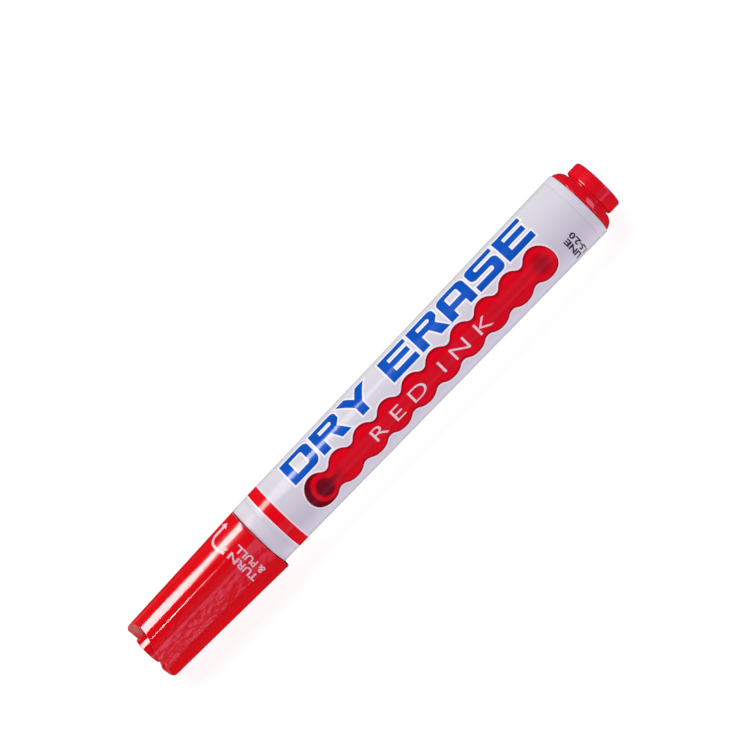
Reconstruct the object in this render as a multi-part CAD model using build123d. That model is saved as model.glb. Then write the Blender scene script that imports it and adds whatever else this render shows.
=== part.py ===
from build123d import *
from math import atan2, cos, sin
import os

os.makedirs("parts", exist_ok=True)

# Whiteboard marker, lying on its side. X runs along the marker, from the cap to the rear plug,
# and a lobe of the cap points up (+Z). While a piece is being made, its axis is the X axis and
# x = 0 is the front rim of the barrel; REST then puts it in the part's own frame.
# All sizes are in millimetres.

# Barrel: a moulded tube, slightly thicker at the rear.
barrel_length = 99.2
barrel_front_radius = 7.78
barrel_rear_radius = 8.55
barrel_wall = 1.40
barrel_edge = 0.30
front_socket_depth = 13.0
rear_socket_depth = 10.0
rib_count = 6
rib_width = 1.0
rib_height_at_front = 0.43

# Printed label: a film in a shallow recess round the barrel.
label_thickness = 0.12
label_front = 3.4
label_rear_margin = 2.2

# Front section: plugs the front of the barrel, holds the nib and carries the cap.
spigot_to_socket_end = 1.0
spigot_wall = 1.30
flange_thickness = 1.5
neck_radius = 5.10
neck_length = 9.6
neck_bead = 0.15
neck_bead_from_rim = 5.0
nose_step = 0.70
nose_tip_wall = 0.90
nose_edge = 0.35
nib_tube_wall = 1.0
nib_tube_behind_rim = 8.0

# Nib: a bullet of bonded fibre, its tail buried in the reservoir.
nib_radius = 2.40
nib_exposed = 7.0
nib_point_radius = 1.0
nib_tail_in_reservoir = 7.4

# Reservoir: a fibre rod in a plastic film, held off the barrel's wall by the ribs.
wrap_thickness = 0.15
rib_clearance = 0.05
reservoir_front_gap = 0.6
reservoir_to_rear_rim = 15.0

# Rear plug: a push-in plug with a domed shoulder, a finger groove and a button.
plug_fit = 0.05
plug_seat_gap = 0.10
plug_spigot_to_socket_end = 1.0
plug_wall = 1.20
shoulder_step = 0.30
shoulder_length = 2.15
shoulder_drop = 1.55
groove_radius = 5.60
groove_width = 0.65
button_radius = 6.30
button_length = 3.30
button_edge = 0.60
button_front_edge = 0.25
prong_radius = 3.0
prong_wall = 1.0
prong_gap = 0.20

# Cap: a three-lobed outer shell over a round sealing cup.
cap_seat_gap = 0.20
cap_length = 34.4
cap_wall = 1.30
cap_flat_taper = 0.90
lobe_rise_at_mouth = 1.40
lobe_rise_at_end = 1.15
cap_end_edge = 0.90
cap_end_wall = 4.4
collar_length = 7.2
collar_lead = 1.8
collar_lead_drop = 0.55
cup_turning_fit = 0.10
cup_seal_fit = 0.05
cup_mouth_wall = 1.0
cup_wall = 0.90
cup_recess = 0.40
nib_to_cup_floor = 2.6
nub_radius = 3.40
nub_length = 3.5
nub_fit = 0.06
nub_core_radius = 2.20
nub_end_wall = 1.20

# Notch: a scoop across the end of the upper lobe, deeper at the lobe's crest than at the nub.
notch_radius = 7.0
notch_depth_at_nub = 1.9
notch_depth_at_crest = 3.3

# Barrel sizes that follow.
front_bore = barrel_front_radius - barrel_wall
rear_bore = barrel_rear_radius - barrel_wall
rear_socket_x = barrel_length - rear_socket_depth
label_rear = barrel_length - label_rear_margin
wrap_radius = front_bore - rib_height_at_front - rib_clearance
reservoir_radius = wrap_radius - wrap_thickness

# Cap sizes that follow: the cup fits the neck, and the shell's flats fit round the cup.
mouth_x = -cap_seat_gap
cap_end_x = mouth_x - cap_length
cup_bore = neck_radius + neck_bead + cup_seal_fit
flat_at_mouth = cup_bore + cup_mouth_wall + cup_turning_fit + cap_wall
flat_at_end = flat_at_mouth - cap_flat_taper
lobe_at_mouth = flat_at_mouth + lobe_rise_at_mouth
lobe_at_end = flat_at_end + lobe_rise_at_end
cup_end_x = cap_end_x + nub_length
cup_floor_x = cup_end_x + cup_wall

# Nib and front section sizes that follow: the nib stops short of the cup's floor.
nose_base_radius = neck_radius - nose_step
nose_tip_radius = nib_radius + nose_tip_wall
nib_tip_x = cup_floor_x + nib_to_cup_floor
nose_x = nib_tip_x + nib_exposed
spigot_length = front_socket_depth - spigot_to_socket_end
reservoir_x = spigot_length + reservoir_front_gap
reservoir_end_x = barrel_length - reservoir_to_rear_rim

# Rear plug sizes that follow.
plug_flange_x = barrel_length + plug_seat_gap
shoulder_radius = barrel_rear_radius - shoulder_step
overall_rear = plug_flange_x + shoulder_length + groove_width + button_length

# At rest the fattest piece touches the ground, and the marker's middle is over the origin.
rest_height = max(barrel_rear_radius, barrel_front_radius, flat_at_mouth)
REST = Pos(-(cap_end_x + overall_rear) / 2, 0, rest_height)


def barrel_radius(x):
    """Outer radius of the barrel at station x."""
    return barrel_front_radius + (barrel_rear_radius - barrel_front_radius) * x / barrel_length


def cap_flat(x):
    """Distance from the axis to the cap's flats at station x."""
    share = (x - cap_end_x) / cap_length
    return flat_at_end + (flat_at_mouth - flat_at_end) * share


def cap_lobe(x):
    """Distance from the axis to the crest of the cap's lobes at station x."""
    share = (x - cap_end_x) / cap_length
    return lobe_at_end + (lobe_at_mouth - lobe_at_end) * share


def turned(*outline):
    """A solid of revolution about the axis, from (x, radius) points."""
    return revolve(make_face(Polyline(*outline, close=True)), Axis.X)


def rims(solid, x, radius):
    """The circular edges of a turned solid at station x with the given radius."""
    return [
        edge
        for edge in solid.edges().filter_by(GeomType.CIRCLE)
        if abs(edge.radius - radius) < 0.001 and abs(edge.center().X - x) < 0.001
    ]


def cross_section(x):
    """Plane across the axis at station x, with its own y axis pointing up."""
    return Plane(origin=(x, 0, 0), x_dir=(0, 1, 0), z_dir=(1, 0, 0))


def triangle(x, flat):
    """Upward triangle at station x whose sides lie at distance flat from the axis."""
    return cross_section(x) * RegularPolygon(flat, 3, major_radius=False, rotation=90)


def lobed(x, flat, lobe):
    """Triangle with its corners rounded so that they reach distance lobe from the axis."""
    corners = RegularPolygon(flat, 3, major_radius=False, rotation=90)
    return cross_section(x) * fillet(corners.vertices(), 2 * flat - lobe)


def make_barrel():
    body = turned(
        (0, front_bore),
        (0, barrel_front_radius),
        (label_front, barrel_radius(label_front)),
        (label_front, barrel_radius(label_front) - label_thickness),
        (label_rear, barrel_radius(label_rear) - label_thickness),
        (label_rear, barrel_radius(label_rear)),
        (barrel_length, barrel_rear_radius),
        (barrel_length, rear_bore),
        (rear_socket_x, rear_bore),
        (front_socket_depth, front_bore),
    )
    edges = rims(body, 0, barrel_front_radius) + rims(body, barrel_length, barrel_rear_radius)
    body = fillet(edges, barrel_edge)
    # Ribs hold the reservoir off the wall and leave room for air. They root in the wall's middle.
    rib_inner = wrap_radius + rib_clearance
    root_front = front_bore + barrel_wall / 2
    root_rear = rear_bore + barrel_wall / 2
    root = turned(
        (front_socket_depth, 0),
        (front_socket_depth, root_front),
        (rear_socket_x, root_rear),
        (rear_socket_x, 0),
    )
    rib_length = rear_socket_x - front_socket_depth
    rib_x = (rear_socket_x + front_socket_depth) / 2
    blank = Pos(rib_x, 0, (rib_inner + root_rear) / 2) * Box(
        rib_length, rib_width, root_rear - rib_inner
    )
    rib = blank & root
    for turn in range(rib_count):
        body = body + Rot(X=360 / rib_count * turn) * rib
    return body


def make_label():
    return turned(
        (label_front, barrel_radius(label_front)),
        (label_front, barrel_radius(label_front) - label_thickness),
        (label_rear, barrel_radius(label_rear) - label_thickness),
        (label_rear, barrel_radius(label_rear)),
    )


def make_front_section():
    tube_radius = nib_radius + nib_tube_wall
    bead_x = -neck_bead_from_rim
    body = turned(
        (nose_x, nib_radius),
        (nose_x, nose_tip_radius),
        (-neck_length, nose_base_radius),
        (-neck_length, neck_radius),
        (bead_x - 2 * neck_bead, neck_radius),
        (bead_x, neck_radius + neck_bead),
        (bead_x + 2 * neck_bead, neck_radius),
        (0, neck_radius),
        (0, front_bore),
        (spigot_length, front_bore),
        (spigot_length, front_bore - spigot_wall),
        (flange_thickness, front_bore - spigot_wall),
        (flange_thickness, tube_radius),
        (nib_tube_behind_rim, tube_radius),
        (nib_tube_behind_rim, nib_radius),
    )
    edges = rims(body, nose_x, nose_tip_radius) + rims(body, -neck_length, neck_radius)
    return fillet(edges, nose_edge)


def make_nib():
    tail_x = reservoir_x + nib_tail_in_reservoir
    bullet = turned(
        (nib_tip_x, 0),
        (nib_tip_x, nib_point_radius),
        (nib_tip_x + nib_exposed / 2, nib_radius),
        (tail_x, nib_radius),
        (tail_x, 0),
    )
    bullet = fillet(rims(bullet, nib_tip_x, nib_point_radius), nib_point_radius * 0.8)
    return fillet(rims(bullet, nib_tip_x + nib_exposed / 2, nib_radius), nib_exposed / 3)


def make_reservoir_core():
    pocket_x = reservoir_x + nib_tail_in_reservoir
    return turned(
        (reservoir_x, nib_radius),
        (reservoir_x, reservoir_radius),
        (reservoir_end_x, reservoir_radius),
        (reservoir_end_x, 0),
        (pocket_x, 0),
        (pocket_x, nib_radius),
    )


def make_reservoir_wrap():
    return turned(
        (reservoir_x, reservoir_radius),
        (reservoir_x, wrap_radius),
        (reservoir_end_x, wrap_radius),
        (reservoir_end_x, reservoir_radius),
    )


def make_rear_plug():
    spigot_radius = rear_bore - plug_fit
    spigot_x = rear_socket_x + plug_spigot_to_socket_end
    groove_x = plug_flange_x + shoulder_length
    button_x = groove_x + groove_width
    prong_x = reservoir_end_x + prong_gap
    floor_x = plug_flange_x + shoulder_length / 2
    body = turned(
        (spigot_x, spigot_radius - plug_wall),
        (spigot_x, spigot_radius),
        (plug_flange_x, spigot_radius),
        (plug_flange_x, shoulder_radius),
        (groove_x, shoulder_radius),
        (groove_x, groove_radius),
        (button_x, groove_radius),
        (button_x, button_radius),
        (overall_rear, button_radius),
        (overall_rear, 0),
        (floor_x, 0),
        (floor_x, prong_radius - prong_wall),
        (prong_x, prong_radius - prong_wall),
        (prong_x, prong_radius),
        (floor_x, prong_radius),
        (floor_x, spigot_radius - plug_wall),
    )
    dome = min(shoulder_drop, 0.9 * shoulder_length)
    body = fillet(rims(body, groove_x, shoulder_radius), dome)
    body = fillet(rims(body, overall_rear, button_radius), button_edge)
    return fillet(rims(body, button_x, button_radius), button_front_edge)


def make_cap_outside():
    """Three-lobed block, with fuller corners in a collar at the mouth."""
    collar_x = mouth_x - collar_length
    body = loft([
        lobed(cap_end_x, flat_at_end, lobe_at_end),
        lobed(collar_x, cap_flat(collar_x), cap_lobe(collar_x)),
    ])
    end_edges = [edge for edge in body.edges() if abs(edge.center().X - cap_end_x) < 0.001]
    body = fillet(end_edges, cap_end_edge)
    collar = loft([
        triangle(collar_x, cap_flat(collar_x)),
        triangle(mouth_x, flat_at_mouth),
    ])
    collar = collar & turned(
        (collar_x, 0),
        (collar_x, cap_lobe(collar_x) - collar_lead_drop),
        (collar_x + collar_lead, cap_lobe(collar_x + collar_lead)),
        (mouth_x, lobe_at_mouth),
        (mouth_x, 0),
    )
    return body + collar


def cup_outside_radius(x):
    """Outer radius of the sealing cup: it turns inside the shell's flats."""
    return cap_flat(x) - cap_wall - cup_turning_fit


def make_notch():
    """Cutter that scoops the end of the upper lobe, deeper towards its crest."""
    rise = notch_depth_at_crest - notch_depth_at_nub
    reach = lobe_at_end - nub_radius
    slope = atan2(rise, reach)
    length = 6 * lobe_at_end
    # The deepest line of the scoop passes through these two points in the XZ plane.
    deep_x = cap_end_x + notch_depth_at_nub
    centre = (deep_x - notch_radius * cos(slope), 0, nub_radius + notch_radius * sin(slope))
    direction = (sin(slope), 0, cos(slope))
    scoop = Plane(origin=centre, z_dir=direction) * Cylinder(notch_radius, length)
    above = Pos(cap_end_x, 0, length / 2) * Box(length, length, length)
    return scoop & above


def make_cap_shell():
    body = make_cap_outside()
    hollow_end = cap_end_x + cap_end_wall
    hollow = loft([
        lobed(hollow_end, cap_flat(hollow_end) - cap_wall, cap_lobe(hollow_end) - cap_wall),
        lobed(mouth_x, flat_at_mouth - cap_wall, lobe_at_mouth - cap_wall),
    ])
    pocket_end = cup_end_x - cup_turning_fit
    pocket = turned(
        (pocket_end, 0),
        (pocket_end, cup_outside_radius(pocket_end) + cup_turning_fit),
        (hollow_end + cap_wall, cup_outside_radius(hollow_end + cap_wall) + cup_turning_fit),
        (hollow_end + cap_wall, 0),
    )
    nub_hole = turned(
        (cap_end_x - cap_wall, 0),
        (cap_end_x - cap_wall, nub_radius + nub_fit),
        (pocket_end + cap_wall / 2, nub_radius + nub_fit),
        (pocket_end + cap_wall / 2, 0),
    )
    return body - make_notch() - hollow - pocket - nub_hole


def make_cap_liner():
    cup_mouth = mouth_x - cup_recess
    seal_end = -neck_length - 1
    core_end = cap_end_x + nub_end_wall
    return turned(
        (cup_mouth, cup_bore),
        (cup_mouth, cup_outside_radius(cup_mouth)),
        (cup_end_x, cup_outside_radius(cup_end_x)),
        (cup_end_x, nub_radius),
        (cap_end_x, nub_radius),
        (cap_end_x, 0),
        (core_end, 0),
        (core_end, nub_core_radius),
        (cup_floor_x, nub_core_radius),
        (cup_floor_x, cup_outside_radius(cup_floor_x) - cup_wall),
        (seal_end, cup_bore),
    )


PIECES = {
    "barrel": make_barrel,
    "barrel_label": make_label,
    "front_section": make_front_section,
    "nib": make_nib,
    "reservoir_core": make_reservoir_core,
    "reservoir_wrap": make_reservoir_wrap,
    "rear_plug": make_rear_plug,
    "cap_shell": make_cap_shell,
    "cap_liner": make_cap_liner,
}

for node, make in PIECES.items():
    piece = REST * make()
    print(f"{node}: {piece.volume:.1f} mm3, {len(piece.solids())} solid")
    export_step(piece, f"parts/{node}.step")

print(f"overall length {overall_rear - cap_end_x:.2f} mm, axis {rest_height:.2f} mm above the ground")
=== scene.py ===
import math

import bmesh
import bpy
from mathutils import Matrix, Vector


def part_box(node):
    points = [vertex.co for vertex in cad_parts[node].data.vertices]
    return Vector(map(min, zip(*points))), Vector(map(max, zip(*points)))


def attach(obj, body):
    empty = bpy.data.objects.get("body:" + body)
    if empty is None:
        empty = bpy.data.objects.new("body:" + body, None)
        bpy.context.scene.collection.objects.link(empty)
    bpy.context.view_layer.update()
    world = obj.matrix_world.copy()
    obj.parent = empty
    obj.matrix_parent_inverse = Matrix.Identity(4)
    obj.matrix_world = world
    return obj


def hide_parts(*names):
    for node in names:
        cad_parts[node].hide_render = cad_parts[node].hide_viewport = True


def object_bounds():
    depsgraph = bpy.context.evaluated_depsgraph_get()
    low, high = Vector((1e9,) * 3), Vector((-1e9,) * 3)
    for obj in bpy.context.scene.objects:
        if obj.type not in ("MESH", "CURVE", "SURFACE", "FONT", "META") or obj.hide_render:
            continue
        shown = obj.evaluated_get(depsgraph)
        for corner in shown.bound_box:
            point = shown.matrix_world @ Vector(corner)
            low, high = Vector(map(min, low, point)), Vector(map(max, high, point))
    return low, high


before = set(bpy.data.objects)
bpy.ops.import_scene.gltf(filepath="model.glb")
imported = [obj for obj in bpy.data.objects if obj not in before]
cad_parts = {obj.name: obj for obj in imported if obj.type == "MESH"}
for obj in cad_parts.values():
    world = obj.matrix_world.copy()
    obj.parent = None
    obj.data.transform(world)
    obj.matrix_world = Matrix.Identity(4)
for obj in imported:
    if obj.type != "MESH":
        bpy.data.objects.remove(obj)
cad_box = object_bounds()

mm = 0.001

# ---------------------------------------------------------------------------------------------
# Studio. A white table top under soft lamps, seen from above the marker's near side. The camera
# stands square to the marker and is rolled, so that the marker lies across the picture.
# ---------------------------------------------------------------------------------------------
marker_low, marker_high = cad_box
barrel_low, barrel_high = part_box("barrel")
axis_z = (barrel_low.z + barrel_high.z) / 2
marker_middle = Vector(((marker_low[0] + marker_high[0]) / 2, 0, axis_z))

view_elevation = math.radians(60)
view_roll = math.radians(46.1)
view_distance = 620 * mm
view_width = 161.4 * mm
aim_along = 6.8 * mm
aim_up = 5.98 * mm

to_camera = Vector((0, -math.cos(view_elevation), math.sin(view_elevation)))
view_up = Vector((0, math.sin(view_elevation), math.cos(view_elevation)))
view_right = Vector((1, 0, 0))
picture_right = view_right * math.cos(view_roll) - view_up * math.sin(view_roll)
picture_up = view_right * math.sin(view_roll) + view_up * math.cos(view_roll)
aim = marker_middle + view_right * aim_along + view_up * aim_up


def added(name, data):
    """Adds an object that shows this data to the scene and returns it."""
    made = bpy.data.objects.new(name, data)
    bpy.context.scene.collection.objects.link(made)
    return made


camera_data = bpy.data.cameras.new("studio_camera")
camera_data.sensor_width = 36
camera_data.lens = camera_data.sensor_width * view_distance / view_width
camera_data.clip_start = 10 * mm
camera = added("studio_camera", camera_data)
camera.location = aim + to_camera * view_distance
camera_axes = Matrix((picture_right, picture_up, to_camera)).transposed()
camera.rotation_mode = "QUATERNION"
camera.rotation_quaternion = camera_axes.to_quaternion()
bpy.context.scene.camera = camera
bpy.context.scene.view_settings.view_transform = "Standard"


def fill(tree, made, sockets):
    """Sets a node's inputs, each to a value or to what another node gives."""
    for key, value in sockets.items():
        if isinstance(value, bpy.types.NodeSocket):
            tree.links.new(value, made.inputs[key])
        else:
            made.inputs[key].default_value = value


def node(tree, kind, sockets=None, **settings):
    """Adds a node with these settings and inputs and returns it."""
    made = tree.nodes.new(kind)
    for key, value in settings.items():
        setattr(made, key, value)
    fill(tree, made, sockets or {})
    return made


def blank(name):
    """A new finish, with its tree of nodes and its shader."""
    finish = bpy.data.materials.new(name)
    finish.use_nodes = True
    return finish, finish.node_tree, finish.node_tree.nodes["Principled BSDF"]


def glow(strength, color=(1, 1, 1)):
    """A plain light-giving finish for a card."""
    finish, tree, skin = blank("glow")
    tree.nodes.remove(skin)
    light = node(tree, "ShaderNodeEmission", {"Color": (*color, 1), "Strength": strength})
    fill(tree, tree.nodes["Material Output"], {"Surface": light.outputs["Emission"]})
    return finish


floor_size = 3.0
floor_data = bpy.data.meshes.new("table_top")
quarters = ((-1, -1), (1, -1), (1, 1), (-1, 1))
floor_corners = [(x * floor_size, y * floor_size, 0) for x, y in quarters]
floor_data.from_pydata(floor_corners, [], [(0, 1, 2, 3)])
table_top = added("table_top", floor_data)
table_paint, tree, skin = blank("white_table")
fill(tree, skin, {
    "Base Color": (0.20, 0.20, 0.20, 1),
    "Roughness": 0.9,
    "Specular IOR Level": 0.0,
    "Emission Color": (1, 1, 1, 1),
    "Emission Strength": 0.89,
})
table_top.data.materials.append(table_paint)
table_top.visible_glossy = False

# A white sweep stands round the table, so that low views don't look past its edge. Only the
# camera sees it.
sweep_radius, sweep_height, sweep_steps = 2.8, 2.0, 48
sweep_points = []
for k in range(sweep_steps):
    a = 2 * math.pi * k / sweep_steps
    for z in (0, sweep_height):
        sweep_points.append((sweep_radius * math.cos(a), sweep_radius * math.sin(a), z))
sweep_faces = []
for k in range(0, 2 * sweep_steps, 2):
    after = (k + 2) % (2 * sweep_steps)
    sweep_faces.append((k, k + 1, after + 1, after))
sweep_data = bpy.data.meshes.new("white_sweep")
sweep_data.from_pydata(sweep_points, [], sweep_faces)
sweep_data.materials.append(glow(0.92))
white_sweep = added("white_sweep", sweep_data)
white_sweep.visible_diffuse = False
white_sweep.visible_glossy = False
white_sweep.visible_transmission = False
white_sweep.visible_shadow = False

sky = bpy.data.worlds.new("studio_walls")
bpy.context.scene.world = sky
sky.use_nodes = True
sky.node_tree.nodes["Background"].inputs["Color"].default_value = (0.93, 0.95, 1.0, 1)
sky.node_tree.nodes["Background"].inputs["Strength"].default_value = 0.02


def soft_lamp(name, elevation, distance, size, watts, along=0.0, color=(1, 1, 1), seen=False):
    """A soft box over the near side (0) to the far side (180 degrees), seen in gloss or not."""
    data = bpy.data.lights.new(name, "AREA")
    data.shape = "RECTANGLE"
    data.size, data.size_y = size
    data.energy = watts
    data.color = color
    lamp = added(name, data)
    angle = math.radians(elevation)
    lamp.location = (along, -distance * math.cos(angle), axis_z + distance * math.sin(angle))
    lamp.rotation_euler = (math.pi / 2 - angle, 0, 0)
    lamp.visible_camera = False
    lamp.visible_glossy = seen
    lamp.visible_diffuse = not seen
    return lamp


def glow_card(name, elevation, distance, corners, finish):
    """A card that only shows in gloss, cut to these corners along and across the marker."""
    angle = math.radians(elevation)
    out = Vector((0, -math.cos(angle), math.sin(angle)))
    across = Vector((0, math.sin(angle), math.cos(angle)))
    centre = Vector((0, 0, axis_z)) + out * distance
    mesh = bpy.data.meshes.new(name)
    points = [centre + Vector((x, 0, 0)) + across * y for x, y in corners]
    mesh.from_pydata(points, [], [tuple(range(len(points)))])
    mesh.materials.append(finish)
    card = added(name, mesh)
    card.visible_camera = False
    card.visible_diffuse = False
    card.visible_shadow = False
    return card


soft_lamp("top_fill", elevation=117, distance=0.90, size=(1.10, 0.50), watts=8.2)
soft_lamp("far_fill", elevation=160, distance=0.90, size=(1.10, 0.30), watts=1.2)
soft_lamp("near_fill", elevation=28, distance=0.90, size=(1.10, 0.30), watts=3.6,
          color=(1.0, 0.86, 1.06))

# Cards that only show in the gloss: a bright box that narrows to a corner along the barrel, a
# thin strip, a dim near wall that is brighter along its foot and towards the cap's end, the
# table by the cap's end and a wall beyond the plug.
lilac = (0.85, 0.60, 1.0)
glow_card("corner_box", elevation=121, distance=0.60, corners=[
    (0, 0), (-0.05, 0.085), (-0.08, 0.030), (-0.135, 0.045), (-0.158, 0.150), (-0.60, 0.150),
    (-0.60, -0.275), (-0.158, -0.275), (-0.135, -0.160), (-0.08, -0.150), (-0.05, -0.085),
], finish=glow(13))
glow_card("thin_strip", elevation=63.5, distance=0.70, corners=[
    (-0.188, -0.028), (-0.188, 0.028), (-0.180, 0.028), (-0.168, 0), (-0.180, -0.028),
], finish=glow(34))
glow_card("near_wall", elevation=8, distance=0.90, corners=[
    (-0.8, -0.12), (-0.8, 0.13), (0.8, 0.13), (0.8, -0.12),
], finish=glow(0.45, lilac))
glow_card("wall_foot", elevation=5, distance=0.88, corners=[
    (-0.8, -0.08), (-0.8, 0.06), (0.8, 0.06), (0.8, -0.08),
], finish=glow(0.95, lilac))
glow_card("wall_end", elevation=6, distance=0.86, corners=[
    (-0.8, -0.10), (-0.8, 0.10), (-0.20, 0.10), (-0.165, -0.10),
], finish=glow(1.6, lilac))
glow_card("table_by_cap", elevation=-90, distance=axis_z - 0.2 * mm, corners=[
    (-0.50, 0.20), (-0.074, 0.20), (-0.074, -0.50), (-0.50, -0.50),
], finish=glow(0.42, (1, 0.8, 0.86)))
side_wall = soft_lamp("side_wall", elevation=14, distance=0.60, size=(0.60, 0.40), watts=1.8,
                      along=1.10, color=lilac, seen=True)
side_wall.rotation_euler = (math.radians(80), 0, math.radians(62))

# ---------------------------------------------------------------------------------------------
# Barrel. A moulded polypropylene tube, a little fatter at the rear, in a cool white. A shallow
# recess takes the label, and six ribs inside hold the ink rod off the wall.
# ---------------------------------------------------------------------------------------------


def softened(corners, steps=5):
    """The outline through (x, radius, rounding) corners, with each rounded corner as an arc."""
    outline = []
    for i, (x, radius, rounding) in enumerate(corners):
        here = Vector((x, radius))
        if not rounding:
            outline.append(here)
            continue
        before = Vector(corners[i - 1][:2]) - here
        after = Vector(corners[(i + 1) % len(corners)][:2]) - here
        half = before.angle(after) / 2
        cut = min(rounding / math.tan(half), 0.49 * before.length, 0.49 * after.length)
        before.normalize()
        after.normalize()
        size = cut * math.tan(half)
        centre = here + (before + after).normalized() * size / math.sin(half)
        start = here + before * cut - centre
        end = here + after * cut - centre
        sweep = math.atan2(start.x * end.y - start.y * end.x, start.dot(end))
        for k in range(steps + 1):
            a = sweep * k / steps
            outline.append(centre + Vector((
                start.x * math.cos(a) - start.y * math.sin(a),
                start.x * math.sin(a) + start.y * math.cos(a),
            )))
    return outline


def as_object(name, build, sharp=32, merge=1e-7):
    """Closes a bmesh into an object with smooth faces and sharp corners."""
    if merge:
        bmesh.ops.remove_doubles(build, verts=build.verts, dist=merge)
    bmesh.ops.recalc_face_normals(build, faces=build.faces)
    mesh = bpy.data.meshes.new(name)
    build.to_mesh(mesh)
    build.free()
    mesh.shade_smooth()
    mesh.set_sharp_from_angle(angle=math.radians(sharp))
    return added(name, mesh)


def turned(name, outline, steps=192):
    """A piece turned about the marker's axis from a closed outline of (x, radius) points."""
    build = bmesh.new()
    rings = []
    for k in range(steps):
        a = 2 * math.pi * k / steps
        rings.append([
            build.verts.new((x, radius * math.cos(a), axis_z + radius * math.sin(a)))
            for x, radius in outline
        ])
    for k in range(steps):
        here, there = rings[k], rings[(k + 1) % steps]
        for i in range(len(outline)):
            j = (i + 1) % len(outline)
            if outline[i][1] > 0 or outline[j][1] > 0:
                build.faces.new((here[i], here[j], there[j], there[i]))
    return as_object(name, build)


def place(piece, finish, body, nodes=()):
    """Gives a piece its finish, lets it ride on a body and stand for its CAD nodes."""
    piece.data.materials.clear()
    piece.data.materials.append(finish)
    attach(piece, body)
    if nodes:
        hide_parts(*nodes)
    return piece


def moulded(name, color, roughness, mottle, peel, peel_size, coat=0.0, depth=0.0, shine=0.5):
    """A moulded plastic: faint mottling, uneven gloss and a fine skin from the mould."""
    finish, tree, skin = blank(name)
    spot = node(tree, "ShaderNodeTexCoord").outputs["Object"]
    cloud = node(tree, "ShaderNodeTexNoise", {"Vector": spot, "Scale": 160, "Detail": 4})
    dark = [c * (1 - mottle) for c in color]
    light = [min(1, c * (1 + mottle)) for c in color]
    tone = node(tree, "ShaderNodeMix", data_type="RGBA")
    fill(tree, tone, {"Factor": cloud.outputs["Fac"], 6: (*dark, 1), 7: (*light, 1)})
    gloss = node(tree, "ShaderNodeMapRange", {
        "Value": cloud.outputs["Fac"], "To Min": roughness * 0.75, "To Max": roughness * 1.3,
    })
    grain = node(tree, "ShaderNodeTexNoise", {"Vector": spot, "Scale": 1 / peel_size, "Detail": 3})
    bump = node(tree, "ShaderNodeBump", {"Height": grain.outputs["Fac"], "Distance": peel})
    fill(tree, skin, {
        "Base Color": tone.outputs[2], "Roughness": gloss.outputs["Result"],
        "Normal": bump.outputs["Normal"], "Specular IOR Level": shine,
        "Coat Weight": coat, "Coat Roughness": 0.05,
    })
    if depth:
        fill(tree, skin, {
            "Subsurface Weight": depth, "Subsurface Radius": (1, 0.6, 0.6),
            "Subsurface Scale": 0.6 * mm,
        })
    return finish


barrel_wall = 1.40 * mm
recess = 0.12 * mm
front_socket = 13.0 * mm
rear_socket = 10.0 * mm
label_low, label_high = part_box("barrel_label")
section_low, section_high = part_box("front_section")
front_x, rear_x = barrel_low.x, barrel_high.x
front_radius = (section_high.y - section_low.y) / 2 + barrel_wall
rear_radius = (barrel_high.y - barrel_low.y) / 2


def barrel_radius(x):
    """Outer radius of the barrel at station x."""
    return front_radius + (rear_radius - front_radius) * (x - front_x) / (rear_x - front_x)


cool_white = (0.755, 0.738, 0.808)
barrel_white = moulded("barrel_white", cool_white, roughness=0.13, mottle=0.02,
                       peel=0.002 * mm, peel_size=1.1 * mm, shine=0.10)
barrel_outline = softened([
    (front_x, front_radius - barrel_wall, 0.15 * mm),
    (front_x, front_radius, 0.08 * mm),
    (label_low.x, barrel_radius(label_low.x), 0.03 * mm),
    (label_low.x, barrel_radius(label_low.x) - recess, 0),
    (label_high.x, barrel_radius(label_high.x) - recess, 0),
    (label_high.x, barrel_radius(label_high.x), 0.03 * mm),
    (rear_x, rear_radius, 0.28 * mm),
    (rear_x, rear_radius - barrel_wall, 0.15 * mm),
    (rear_x - rear_socket, rear_radius - barrel_wall, 0),
    (front_x + front_socket, front_radius - barrel_wall, 0),
])
place(turned("barrel_tube", barrel_outline), barrel_white, "barrel", ["barrel"])

# The six ribs run along the bore. They root in the wall and stop just short of the ink rod.
rib_count = 6
rib_width = 1.0 * mm
rib_gap = 0.05 * mm
wrap_low, wrap_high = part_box("reservoir_wrap")


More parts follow.
